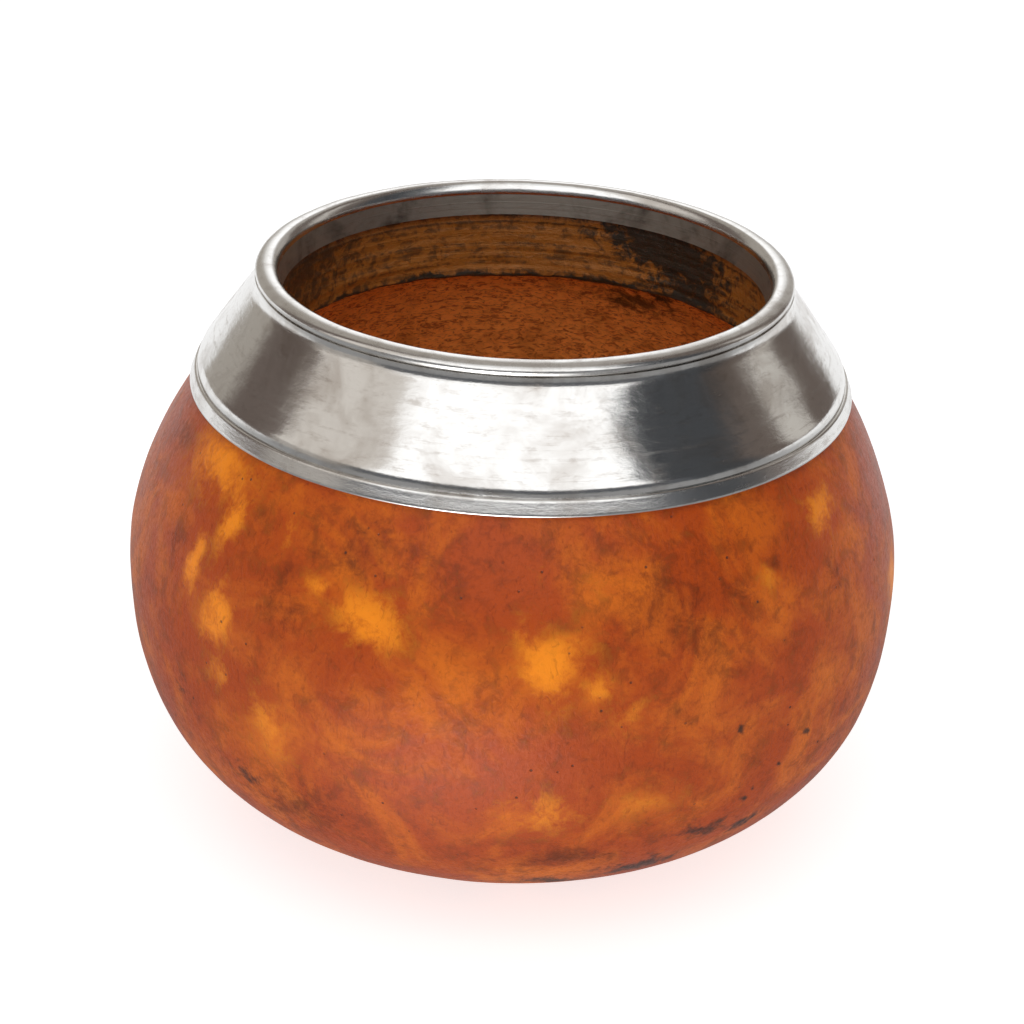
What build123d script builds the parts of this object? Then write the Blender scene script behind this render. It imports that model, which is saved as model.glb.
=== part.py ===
"""Mate cup: a hollow calabash gourd with a spun metal collar round its mouth.

Units are millimetres. The cup stands on the XY plane on a small flat spot,
its axis is +Z, and the origin is the centre of the flat spot. Every piece is
turned about the axis, so each one is drawn as an outline of (radius, height)
points and revolved.
"""
import os
from math import asin, cos, pi, radians, sin, tan

from build123d import *

# --- driving dimensions of the gourd ---
BELLY_R = 47.5            # radius at the widest level
BELLY_Z = 34.0            # height of the widest level
FOOT_R = 11.0             # radius of the flat spot it stands on
BASE_FULLNESS = 2.55      # exponent of the lower curve: 2 is an ellipse, more is squarer
SHOULDER_FULLNESS = 1.84  # exponent of the upper curve, which is slacker than an ellipse
SHOULDER_RISE = 45.0      # height above the widest level where the upper curve would close
SIDE_WALL = 4.6           # rind thickness at the widest level
FLOOR_WALL = 5.5          # rind thickness over the flat spot
INNER_RISE = 43.0         # as SHOULDER_RISE, for the hollow
CURVE_SPANS = 6           # spans in each curve that follows a formula

# --- driving dimensions of the mouth ---
BORE_R = 30.1             # radius of the scraped neck wall
LEDGE_Z = 59.0            # lower edge of the neck wall, where the hollow opens out
LEDGE_RISE = 1.2          # how far the underside of that edge climbs outwards
NECK_PLAY = 0.15          # clearance between the neck and the collar at the seat

# --- driving dimensions of the collar ---
SHEET = 0.8               # thickness of the collar's sheet
SEAT_Z = 70.6             # level where skirt, sleeve and gourd meet the underside of the lip
SHOULDER_R = 32.3         # outer radius of the skirt just under the lip
SKIRT_ANGLE = 35.2        # lean of the skirt from upright, in degrees
NECK_SWEEP_R = 2.5        # radius of the hollow sweep from the upright neck into the cone
SKIRT_TURN_R = 2.4        # rounding at the foot of the skirt
COVE = 0.15               # depth of the cove between the skirt and the hem band
HEM_LOW_Z = 57.15         # lower edge of the collar
HEM_TALL = 1.95           # height of the hem band
HEM_LOW_R = 40.2          # outer radius of the hem band at its lower edge
HEM_TOP_R = 39.65         # outer radius of the hem band at its upper edge
HEM_EDGE = 0.3            # rounding of the hem band's outer edges
SLEEVE_TALL = 2.6         # how far the sleeve reaches down inside the neck

# --- driving dimensions of the lip ---
LIP_OUT_R = 32.3          # outer radius of the lip
LIP_IN_R = 29.5           # inner radius of the lip and of the sleeve
LIP_TALL = 1.5            # height of the lip over its seat
LIP_CREST_R = 31.0        # radius of the highest line of the lip
LIP_SWELL = 0.63          # height over the seat of the lip's widest line
LIP_BORE_TALL = 0.45      # height of the upright part of the lip's inner side
LIP_ROUND = 0.45          # how far in from either side the lip starts to drop
LIP_DROP = 0.3            # how far it has dropped there
LIP_TUCK = 0.45           # how far the underside of the lip is drawn in

# --- worked out from them ---
HEM_TOP_Z = HEM_LOW_Z + HEM_TALL
LEAN = radians(SKIRT_ANGLE)
CONE_TOP_R = SHOULDER_R + NECK_SWEEP_R * (1 - cos(LEAN))
CONE_TOP_Z = SEAT_Z - NECK_SWEEP_R * sin(LEAN)
SKIN_R = CONE_TOP_R - (SEAT_Z - CONE_TOP_Z) * tan(LEAN) - SHEET / cos(LEAN)


def turned(edges):
    """Solid of revolution about Z from a closed outline of edges in (radius, height)."""
    outline = Wire(edges)
    return revolve(make_face(Plane.XZ * outline), Axis.Z)


def quarter_point(radius, rise, fullness, angle):
    """Offset (out, up) at a parameter angle of a superellipse quarter."""
    out = radius * cos(angle) ** (2 / fullness)
    up = rise * sin(angle) ** (2 / fullness)
    return out, up


def angle_at_share(share, fullness):
    """Parameter angle at which a superellipse quarter has risen to a share of its rise."""
    return asin(share ** (fullness / 2))


def bowl_curve(radius, level, floor, flat_r, fullness):
    """Lower curve, from the rim of the flat at the floor up to the widest level."""
    drop = level - floor
    depth = drop / (1 - (flat_r / radius) ** fullness) ** (1 / fullness)
    end = angle_at_share(drop / depth, fullness)
    points = []
    for span in range(CURVE_SPANS + 1):
        angle = end * (1 - span / CURVE_SPANS)
        out, down = quarter_point(radius, depth, fullness, angle)
        points.append((out, level - down))
    steepness = depth / radius * (flat_r / radius * depth / drop) ** (fullness - 1)
    return Spline(*points, tangents=[(1, steepness), (0, 1)])


def shoulder_curve(radius, level, rise, fullness, top_z):
    """Upper curve, from the widest level up to a given height."""
    end = angle_at_share((top_z - level) / rise, fullness)
    points = []
    for span in range(CURVE_SPANS + 1):
        out, up = quarter_point(radius, rise, fullness, end * span / CURVE_SPANS)
        points.append((out, level + up))
    return Spline(*points)


def gourd_shoulder():
    """The gourd's upper outer curve, from the widest level to the collar's lower edge."""
    return shoulder_curve(BELLY_R, BELLY_Z, SHOULDER_RISE, SHOULDER_FULLNESS, HEM_LOW_Z)


def gourd_shell():
    """The hollow gourd: round belly, trimmed neck and an edge standing over the hollow."""
    base = bowl_curve(BELLY_R, BELLY_Z, 0, FOOT_R, BASE_FULLNESS)
    shoulder = gourd_shoulder()
    hollow_r = BELLY_R - SIDE_WALL
    hollow_top = LEDGE_Z + LEDGE_RISE
    hollow_base = bowl_curve(hollow_r, BELLY_Z, FLOOR_WALL, FOOT_R, BASE_FULLNESS)
    hollow_side = shoulder_curve(hollow_r, BELLY_Z, INNER_RISE, SHOULDER_FULLNESS, hollow_top)
    neck_top = (SKIN_R - NECK_PLAY, SEAT_Z)
    return turned([
        Line((0, 0), base @ 0),
        base,
        shoulder,
        Line(shoulder @ 1, neck_top),
        Line(neck_top, (BORE_R, SEAT_Z)),
        Line((BORE_R, SEAT_Z), (BORE_R, LEDGE_Z)),
        Line((BORE_R, LEDGE_Z), hollow_side @ 1),
        hollow_side,
        hollow_base,
        Line(hollow_base @ 0, (0, FLOOR_WALL)),
        Line((0, FLOOR_WALL), (0, 0)),
    ])


def collar_skirt():
    """The conical sheet of the collar, upright under the lip and rounded down to the hem band."""
    half = LEAN / 2
    cove_top = HEM_TOP_Z + COVE
    cone_low_z = cove_top + SKIRT_TURN_R * sin(LEAN)
    cone_low_r = CONE_TOP_R + (CONE_TOP_Z - cone_low_z) * tan(LEAN)
    foot_r = cone_low_r + SKIRT_TURN_R * (1 - cos(LEAN))
    sweep_middle = (
        SHOULDER_R + NECK_SWEEP_R * (1 - cos(half)),
        SEAT_Z - NECK_SWEEP_R * sin(half),
    )
    turn_middle = (
        foot_r - SKIRT_TURN_R * (1 - cos(half)),
        cove_top + SKIRT_TURN_R * sin(half),
    )
    cove_middle = (
        foot_r - COVE * sin(pi / 4),
        cove_top - COVE * (1 - cos(pi / 4)),
    )
    cove_low = (foot_r - COVE, HEM_TOP_Z)
    skin_low = (foot_r - COVE - SHEET / 2, HEM_TOP_Z)
    return turned([
        Line((SKIN_R, SEAT_Z), (SHOULDER_R, SEAT_Z)),
        ThreePointArc((SHOULDER_R, SEAT_Z), sweep_middle, (CONE_TOP_R, CONE_TOP_Z)),
        Line((CONE_TOP_R, CONE_TOP_Z), (cone_low_r, cone_low_z)),
        ThreePointArc((cone_low_r, cone_low_z), turn_middle, (foot_r, cove_top)),
        ThreePointArc((foot_r, cove_top), cove_middle, cove_low),
        Line(cove_low, skin_low),
        Line(skin_low, (SKIN_R, SEAT_Z)),
    ])


def collar_hem():
    """The band that edges the collar; its lower inner edge grips the gourd."""
    grip_r = (gourd_shoulder() @ 1).X
    outline = Polyline(
        (grip_r, HEM_LOW_Z),
        (HEM_LOW_R, HEM_LOW_Z),
        (HEM_TOP_R, HEM_TOP_Z),
        (HEM_TOP_R - SHEET - COVE, HEM_TOP_Z),
        close=True,
    )
    band = make_face(outline)
    outer_corners = band.vertices().sort_by(Axis.X)[-2:]
    return revolve(Plane.XZ * fillet(outer_corners, HEM_EDGE), Axis.Z)


def collar_lip():
    """The rounded rim that is soldered over the skirt, the gourd's edge and the sleeve."""
    crest_z = SEAT_Z + LIP_TALL
    swell = (LIP_OUT_R, SEAT_Z + LIP_SWELL)
    under_r = LIP_OUT_R - LIP_TUCK
    over = Spline(
        (LIP_IN_R, SEAT_Z + LIP_BORE_TALL),
        (LIP_IN_R + LIP_ROUND, crest_z - LIP_DROP),
        (LIP_CREST_R, crest_z),
        (LIP_OUT_R - LIP_ROUND, crest_z - LIP_DROP),
        swell,
        tangents=[(0, 1), (0, -1)],
    )
    under = Spline(swell, (under_r, SEAT_Z), tangents=[(0, -1), (-1, -1)])
    return turned([
        Line((LIP_IN_R, SEAT_Z), over @ 0),
        over,
        under,
        Line((under_r, SEAT_Z), (LIP_IN_R, SEAT_Z)),
    ])


def collar_sleeve():
    """The short band that lines the top of the neck wall below the lip."""
    low_z = SEAT_Z - SLEEVE_TALL
    band = Polyline(
        (LIP_IN_R, low_z),
        (BORE_R, low_z),
        (BORE_R, SEAT_Z),
        (LIP_IN_R, SEAT_Z),
        close=True,
    )
    return revolve(Plane.XZ * make_face(band), Axis.Z)


def main():
    """Build every piece and write each one to its own STEP file."""
    pieces = {
        "gourd_shell": gourd_shell(),
        "collar_skirt": collar_skirt(),
        "collar_hem": collar_hem(),
        "collar_lip": collar_lip(),
        "collar_sleeve": collar_sleeve(),
    }
    os.makedirs("parts", exist_ok=True)
    for name, solid in pieces.items():
        export_step(solid, os.path.join("parts", name + ".step"))


main()
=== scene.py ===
"""Looks of the mate cup: a mottled, waxed gourd with a turned metal collar.

Lengths in the dataclasses are millimetres and are turned into the frame's
metres where meshes are made. Turns are degrees about the cup's axis: 0 faces
the camera (-Y) and 90 is the camera's right (+X).
"""

import logging
import math
from dataclasses import dataclass
from enum import Enum
from typing import Callable, Optional, Union

import bmesh
import bpy
import numpy as np
from mathutils import Matrix, Vector, noise


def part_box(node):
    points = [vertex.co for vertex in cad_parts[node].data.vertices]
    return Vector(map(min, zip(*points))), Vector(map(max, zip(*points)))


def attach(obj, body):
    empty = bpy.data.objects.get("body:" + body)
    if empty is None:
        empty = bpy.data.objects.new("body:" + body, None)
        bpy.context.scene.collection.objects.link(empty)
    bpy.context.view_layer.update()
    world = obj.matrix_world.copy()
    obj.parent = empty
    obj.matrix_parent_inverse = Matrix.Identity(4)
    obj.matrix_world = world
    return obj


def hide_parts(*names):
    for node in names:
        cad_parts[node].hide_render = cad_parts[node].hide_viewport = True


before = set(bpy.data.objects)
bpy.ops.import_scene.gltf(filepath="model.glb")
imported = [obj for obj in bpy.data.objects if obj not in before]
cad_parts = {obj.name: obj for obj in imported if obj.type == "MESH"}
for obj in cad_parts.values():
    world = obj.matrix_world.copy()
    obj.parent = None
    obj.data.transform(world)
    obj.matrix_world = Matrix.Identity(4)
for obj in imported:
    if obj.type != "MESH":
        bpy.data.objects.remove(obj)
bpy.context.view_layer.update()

LOG = logging.getLogger("mate_cup")
MM = 0.001
BODY = "root"
NOISE_RADIUS = 40.0
EDGE_LUMP = 7.0
POLE_RADIUS = 5.0
WHITE = (1.0, 1.0, 1.0, 1.0)


class Slot(Enum):
    """Material slots of the record."""

    RIND = "waxed_rind"
    METAL = "collar_metal"


class Node(Enum):
    """Solids of the frame that the pieces stand for."""

    GOURD = "gourd_shell"
    SKIRT = "collar_skirt"
    HEM = "collar_hem"
    LIP = "collar_lip"
    SLEEVE = "collar_sleeve"


class Stain(Enum):
    """Colours that the rind is mottled with, which on the lining also carry painted shade; the value is
    the mesh attribute's name.
    """

    AMBER = "amber"
    UMBER = "umber"
    SMOKE = "smoke"


@dataclass(frozen=True)
class Span:
    """How far a solid reaches out from the axis, and between which heights."""

    radius: float
    low: float
    high: float

    @classmethod
    def of(cls, node: Node) -> "Span":
        """Read a solid's reach from the frame.

        Args:
            node: The solid.

        Returns:
            Its span in millimetres.
        """
        lowest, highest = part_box(node.value)
        return cls(*(round(v / MM, 2) for v in (highest[0], lowest[2], highest[2])))


GOURD = Span.of(Node.GOURD)
HEM = Span.of(Node.HEM)
LIP = Span.of(Node.LIP)
SLEEVE = Span.of(Node.SLEEVE)


def linear(code: str) -> tuple[float, float, float, float]:
    """Turn a display colour into a linear one.

    Args:
        code: Six hexadecimal digits.

    Returns:
        Linear red, green and blue, and an alpha of 1.
    """
    parts = [int(code[i:i + 2], 16) / 255 for i in (0, 2, 4)]
    bent = [c / 12.92 if c <= 0.04045 else ((c + 0.055) / 1.055) ** 2.4 for c in parts]
    return bent[0], bent[1], bent[2], 1.0


def smooth(low: float, high: float, value: np.ndarray) -> np.ndarray:
    """Ease from 0 at low to 1 at high.

    Args:
        low: Where the step starts.
        high: Where it ends.
        value: Values to ease.

    Returns:
        The eased values.
    """
    t = np.clip((value - low) / (high - low), 0.0, 1.0)
    return t * t * (3 - 2 * t)


def wrapped(turn: np.ndarray, centre: float) -> np.ndarray:
    """Signed difference in degrees between turns and a centre, from -180 to 180."""
    return (turn - centre + 180) % 360 - 180


def mound(
    turn: np.ndarray,
    z: np.ndarray,
    at: tuple[float, float],
    reach: tuple[float, float],
) -> np.ndarray:
    """A smooth mound, 1 high, on the outside of a turned piece.

    Args:
        turn: Turns in degrees.
        z: Heights.
        at: Turn and height of its top.
        reach: How far it reaches round, in degrees, and up.

    Returns:
        Heights of the mound from 0 to 1.
    """
    across = (wrapped(turn, at[0]) / reach[0]) ** 2
    up = ((z - at[1]) / reach[1]) ** 2
    return np.exp(-across - up)


# --- outlines and meshes ------------------------------------------------------------


@dataclass(frozen=True)
class Bow:
    """A quarter superellipse about the cup's axis, which bounds the gourd above or below."""

    radius: float
    level: float
    rise: float
    fullness: float

    def radius_at(self, z: np.ndarray) -> np.ndarray:
        """Radius at heights z."""
        share = np.clip(np.abs(z - self.level) / self.rise, 0, 1)
        return self.radius * (1 - share ** self.fullness) ** (1 / self.fullness)

    def height_at(self, r: np.ndarray, side: float) -> np.ndarray:
        """Height at radii r, on the upper side (1) or the lower side (-1)."""
        share = np.clip(r / self.radius, 0, 1)
        return self.level + side * self.rise * (1 - share ** self.fullness) ** (1 / self.fullness)


def resample(points: np.ndarray, step: float) -> np.ndarray:
    """Space points evenly along an open outline.

    Args:
        points: Outline of (radius, height) rows.
        step: Wanted spacing.

    Returns:
        Outline with the same ends and even spacing.
    """
    lengths = np.hypot(*np.diff(points, axis=0).T)
    along = np.concatenate([[0], np.cumsum(lengths)])
    count = max(2, int(round(along[-1] / step)) + 1)
    even = np.linspace(0, along[-1], count)
    return np.column_stack([np.interp(even, along, points[:, k]) for k in (0, 1)])


def arc(centre: tuple[float, float], size: float, start: float, end: float, count: int) -> np.ndarray:
    """Points of a circular arc in (radius, height), from start to end in degrees."""
    angles = np.radians(np.linspace(start, end, count))
    return np.column_stack([centre[0] + size * np.cos(angles), centre[1] + size * np.sin(angles)])


Grids = tuple[np.ndarray, np.ndarray, np.ndarray]
Shaper = Callable[[np.ndarray, np.ndarray, np.ndarray], Grids]


@dataclass
class Turning:
    """A closed outline revolved about the cup's axis, with a shaper that makes it uneven."""

    name: str
    outline: np.ndarray
    around: int
    shaper: Optional[Shaper] = None
    crease: float = 38.0

    def __post_init__(self) -> None:
        """Run the outline clockwise, so that every face looks outwards."""
        r, z = self.outline.T
        if np.sum(r * np.roll(z, -1) - np.roll(r, -1) * z) > 0:
            self.outline = self.outline[::-1].copy()

    @property
    def on_axis(self) -> bool:
        """Whether the outline's ends lie on the axis, so that it closes there."""
        return self.outline[0, 0] == 0

    def grids(self) -> Grids:
        """Spread the outline round the axis.

        Returns:
            Turn in degrees, radius and height of every outline point at every turn.
        """
        turn = np.linspace(0, 360, self.around, endpoint=False)
        grid_turn, grid_r = np.meshgrid(turn, self.outline[:, 0])
        grid_z = np.repeat(self.outline[:, 1:2], self.around, axis=1)
        return grid_turn, grid_r, grid_z

    def faces(self) -> tuple[list[tuple[int, ...]], list[float]]:
        """Join the grid's points, ring by ring.

        Returns:
            Faces, and the flat list of their corners' places in the texture layout.
        """
        rows = len(self.outline)
        n = self.around
        rings = rows if self.on_axis else rows + 1
        faces = []
        layout = []
        for ring in range(rings - 1):
            low = ring * n
            high = (ring + 1) % rows * n
            v0 = ring / (rings - 1)
            v1 = (ring + 1) / (rings - 1)
            for col in range(n):
                after = (col + 1) % n
                u0 = col / n
                u1 = (col + 1) / n
                if self.on_axis and ring == 0:
                    faces.append((0, high + col, high + after))
                    layout += [(u0 + u1) / 2, v0, u0, v1, u1, v1]
                elif self.on_axis and ring == rings - 2:
                    faces.append((low + col, high, low + after))
                    layout += [u0, v0, (u0 + u1) / 2, v1, u1, v0]
                else:
                    faces.append((low + col, high + col, high + after, low + after))
                    layout += [u0, v0, u0, v1, u1, v1, u1, v0]
        return faces, layout

    def build(self) -> bpy.types.Object:
        """Make the mesh object, closed on the axis where the outline's ends meet it.

        Returns:
            The object, in metres, with its own even texture layout.
        """
        turn, r, z = self.grids()
        aside = np.zeros_like(r)
        if self.shaper:
            r, z, aside = self.shaper(turn, r, z)
        angle = np.radians(turn)
        grid = np.stack([r * np.sin(angle) + aside, -r * np.cos(angle), z], axis=-1)
        faces, layout = self.faces()
        mesh = bpy.data.meshes.new(self.name)
        mesh.from_pydata(grid.reshape(-1, 3) * MM, [], faces)
        uv = mesh.uv_layers.new(name="OFBake")
        uv.data.foreach_set("uv", layout)
        mesh.update()
        if self.on_axis:
            self.drop_spares(mesh)
        mesh.polygons.foreach_set("use_smooth", [True] * len(mesh.polygons))
        mesh.set_sharp_from_angle(angle=math.radians(self.crease))
        obj = bpy.data.objects.new(self.name, mesh)
        bpy.context.scene.collection.objects.link(obj)
        return obj

    def save(self, obj: bpy.types.Object, name: str, values: np.ndarray) -> None:
        """Store values of the grid as a vertex attribute.

        Args:
            obj: Mesh object that this turning built.
            name: Attribute name.
            values: One value for each outline point and turn.
        """
        flat = values.reshape(-1)
        if self.on_axis:
            n = self.around
            flat = np.concatenate([flat[:1], flat[n:-n], flat[-n:-n + 1]])
        layer = obj.data.attributes.new(name, "FLOAT", "POINT")
        layer.data.foreach_set("value", flat.astype(np.float32))

    @staticmethod
    def drop_spares(mesh: bpy.types.Mesh) -> None:
        """Delete the vertices on the axis that no face uses.

        Args:
            mesh: Mesh of a piece that closes on the axis.
        """
        work = bmesh.new()
        work.from_mesh(mesh)
        spare = [v for v in work.verts if not v.link_faces]
        bmesh.ops.delete(work, geom=spare, context="VERTS")
        work.to_mesh(mesh)
        work.free()


def wobble(turn: np.ndarray, z: np.ndarray, size: float, seed: float) -> np.ndarray:
    """Soft noise that closes on itself round the axis.

    Args:
        turn: Turns in degrees.
        z: Heights in millimetres.
        size: Width of the noise's lumps in millimetres, at NOISE_RADIUS.
        seed: Offset that makes each use different.

    Returns:
        Values from about -1 to 1.
    """
    angle = np.radians(turn).ravel()
    k = NOISE_RADIUS / size
    xs = np.sin(angle) * k + seed
    ys = np.cos(angle) * k
    zs = z.ravel() / size
    values = [noise.fractal((x, y, h), 0.7, 2.0, 3) for x, y, h in zip(xs, ys, zs)]
    return np.array(values).reshape(turn.shape)


# --- finishes -----------------------------------------------------------------------


Feed = Union[bpy.types.NodeSocket, float, tuple[float, ...]]
Socket = bpy.types.NodeSocket
Triple = tuple[float, float, float]


class Graph:
    """A node tree, with short calls for the nodes that the finishes and the room share."""

    def __init__(self, tree: bpy.types.NodeTree) -> None:
        """Work on a node tree."""
        self.tree = tree

    def feed(self, socket: Socket, value: Feed) -> None:
        """Link a socket to an output, or set it to a plain value.

        Args:
            socket: Input socket.
            value: Output socket, number or vector.
        """
        if isinstance(value, bpy.types.NodeSocket):
            self.tree.links.new(value, socket)
        else:
            socket.default_value = value

    def step(
        self,
        value: Feed,
        low: float,
        high: float,
        below: float = 0.0,
        above: float = 1.0,
    ) -> Socket:
        """Ease a value from one level to another.

        Args:
            value: Value to ease.
            low: Where the step starts.
            high: Where it ends.
            below: Level before it.
            above: Level after it.

        Returns:
            The eased value.
        """
        node = self.tree.nodes.new("ShaderNodeMapRange")
        node.interpolation_type = "SMOOTHSTEP"
        self.feed(node.inputs["Value"], value)
        node.inputs["From Min"].default_value = low
        node.inputs["From Max"].default_value = high
        node.inputs["To Min"].default_value = below
        node.inputs["To Max"].default_value = above
        return node.outputs[0]

    def sum(
        self,
        first: Feed,
        second: Feed = 0.0,
        operation: str = "ADD",
        third: float = 0.0,
    ) -> Socket:
        """Join values with a math operation.

        Args:
            first: First value.
            second: Second value.
            operation: Blender's name of the operation.
            third: Third value, for the operations that have one.

        Returns:
            The result.
        """
        node = self.tree.nodes.new("ShaderNodeMath")
        node.operation = operation
        self.feed(node.inputs[0], first)
        self.feed(node.inputs[1], second)
        node.inputs[2].default_value = third
        return node.outputs[0]

    def tint(self, share: Feed, below: Feed, above: Feed, blend: str = "MIX") -> Socket:
        """Mix two colours.

        Args:
            share: Share of the second colour, from 0 to 1.
            below: First colour.
            above: Second colour.
            blend: Blender's name of the blend.

        Returns:
            The mixed colour.
        """
        node = self.tree.nodes.new("ShaderNodeMix")
        node.data_type = "RGBA"
        node.blend_type = blend
        colours = [socket for socket in node.inputs if socket.type == "RGBA"]
        self.feed(node.inputs["Factor"], share)
        self.feed(colours[0], below)
        self.feed(colours[1], above)
        return next(socket for socket in node.outputs if socket.type == "RGBA")

    def parts(self, vector: Socket) -> tuple[Socket, Socket, Socket]:
        """Split a vector.

        Args:
            vector: The vector.

        Returns:
            Its x, y and z.
        """
        node = self.tree.nodes.new("ShaderNodeSeparateXYZ")
        self.feed(node.inputs[0], vector)
        return node.outputs[0], node.outputs[1], node.outputs[2]

    def choose(self, share: Socket, first: Socket, second: Socket) -> Socket:
        """Mix two shaders.

        Args:
            share: Share of the second shader.
            first: First shader.
            second: Second shader.

        Returns:
            The mixed shader.
        """
        node = self.tree.nodes.new("ShaderNodeMixShader")
        self.feed(node.inputs[0], share)
        self.feed(node.inputs[1], first)
        self.feed(node.inputs[2], second)
        return node.outputs[0]

    def ray(self, kind: str) -> Socket:
        """Whether light travels along a kind of ray, such as "Is Camera Ray"."""
        return self.tree.nodes.new("ShaderNodeLightPath").outputs[kind]


class Sheet(Graph):
    """A material's node tree, with the patterns that the finishes share."""

    def __init__(self, name: str) -> None:
        """Start a material with a principled shader.

        Args:
            name: The material's name.
        """
        self.material = bpy.data.materials.new(name)
        self.material.use_nodes = True
        super().__init__(self.material.node_tree)
        self.shader = self.tree.nodes["Principled BSDF"]
        self.place = self.tree.nodes.new("ShaderNodeTexCoord").outputs["Object"]

    def stretch(self, scale: Triple, source: Optional[Socket] = None) -> Socket:
        """Scale a vector.

        Args:
            scale: Factor along each axis.
            source: The vector, by default the object's coordinates in metres.

        Returns:
            The scaled vector.
        """
        node = self.tree.nodes.new("ShaderNodeVectorMath")
        node.operation = "MULTIPLY"
        self.feed(node.inputs[0], source or self.place)
        node.inputs[1].default_value = scale
        return node.outputs[0]

    def cloud(
        self,
        size: float,
        detail: float = 4.0,
        rough: float = 0.55,
        warp: float = 0.0,
        stretch: Triple = (1, 1, 1),
        source: Optional[Socket] = None,
    ) -> Socket:
        """Noise in object space.

        Args:
            size: Width of its lumps in millimetres.
            detail: Octaves.
            rough: Share that each octave keeps.
            warp: Distortion.
            stretch: Frequency along each axis.
            source: Vector used in place of the object's coordinates.

        Returns:
            A value from 0 to 1.
        """
        node = self.tree.nodes.new("ShaderNodeTexNoise")
        scaled = self.stretch(tuple(s / (size * MM) for s in stretch), source)
        self.feed(node.inputs["Vector"], scaled)
        node.inputs["Scale"].default_value = 1.0
        node.inputs["Detail"].default_value = detail
        node.inputs["Roughness"].default_value = rough
        node.inputs["Distortion"].default_value = warp
        return node.outputs[0]

    def pits(self, gap: float) -> Socket:
        """Scatter points in object space.

        Args:
            gap: Usual gap between them in millimetres.

        Returns:
            Distance to the nearest, as a share of the gap.
        """
        node = self.tree.nodes.new("ShaderNodeTexVoronoi")
        k = 1.0 / (gap * MM)
        self.feed(node.inputs["Vector"], self.stretch((k, k, k)))
        node.inputs["Scale"].default_value = 1.0
        return node.outputs["Distance"]

    def stain(self, stain: Stain) -> Socket:
        """Read a stain's strength from the mesh."""
        return self.attribute(stain.value)

    def attribute(self, name: str) -> Socket:
        """Read a mesh attribute.

        Args:
            name: Its name.

        Returns:
            Its value.
        """
        node = self.tree.nodes.new("ShaderNodeAttribute")
        node.attribute_name = name
        return node.outputs["Fac"]

    def relief(self, height: Socket, depth: float, under: Optional[Socket] = None) -> Socket:
        """Raise a fine relief.

        Args:
            height: Height from 0 to 1.
            depth: What a height of 1 stands for, in millimetres.
            under: Relief that this one lies on.

        Returns:
            The surface's direction.
        """
        node = self.tree.nodes.new("ShaderNodeBump")
        node.inputs["Strength"].default_value = 1.0
        node.inputs["Distance"].default_value = depth * MM
        self.feed(node.inputs["Height"], height)
        if under is not None:
            self.feed(node.inputs["Normal"], under)
        return node.outputs[0]

    def radial(self) -> Socket:
        """Distance from the axis and height, for marks that run round the axis.

        Returns:
            A vector of the distance, 0 and the height.
        """
        x, y, z = self.parts(self.place)
        squares = self.sum(self.sum(x, x, "MULTIPLY"), self.sum(y, y, "MULTIPLY"))
        node = self.tree.nodes.new("ShaderNodeCombineXYZ")
        self.feed(node.inputs[0], self.sum(squares, 0.5, "POWER"))
        self.feed(node.inputs[2], z)
        return node.outputs[0]


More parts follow.
